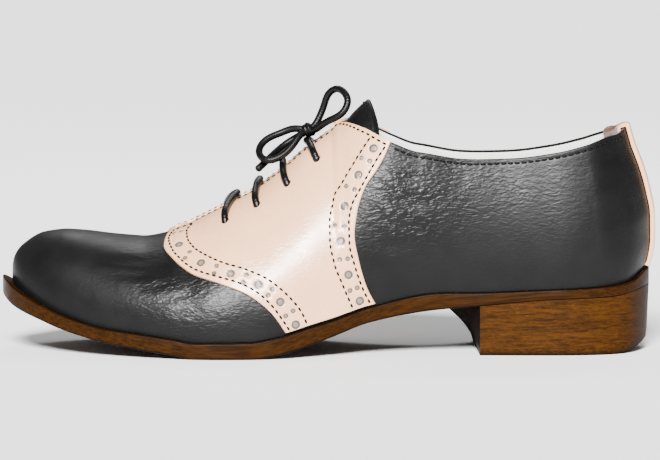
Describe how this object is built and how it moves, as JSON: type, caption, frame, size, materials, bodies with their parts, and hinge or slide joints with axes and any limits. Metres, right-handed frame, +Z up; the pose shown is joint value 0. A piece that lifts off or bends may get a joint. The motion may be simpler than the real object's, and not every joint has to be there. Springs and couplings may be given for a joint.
{
  "type": "saddle shoe",
  "caption": "Left saddle oxford with a dark grained upper, a pale punched saddle and heel strip, a round lace in a bow, and a low stacked heel.",
  "frame": {"origin": "bottom centre of the shoe's box without the bow, on the floor that the heel and forefoot stand on", "axes": "+Z up; -X to the toe and +X to the heel, along the shoe's length; -Y to the outer side of the foot and +Y to the inner side"},
  "size_m": [0.2719, 0.0953, 0.1092],
  "materials": {
    "black_leather": "grained, semi-gloss",
    "blush_leather": "glossy",
    "sole_leather": "waxed edge",
    "stacked_heel": "waxed, layered fibre",
    "top_piece_rubber": "matt",
    "lining_leather": "matt",
    "black_cord": "waxed round cord"
  },
  "bodies": {
    "root": {"outsole": "sole_leather", "heel_block": "stacked_heel", "heel_top_piece": "top_piece_rubber", "insole": "lining_leather", "upper": "black_leather", "saddle_outer": "blush_leather", "saddle_inner": "blush_leather", "backstay": "blush_leather", "tongue": "black_leather", "lace_bar_1": "black_cord", "lace_bar_2": "black_cord", "lace_bar_3": "black_cord", "lace_bar_4": "black_cord", "lace_knot": "black_cord", "lace_loop_front": "black_cord", "lace_loop_rear": "black_cord", "lace_end_front": "black_cord"}
  },
  "joints": []
}
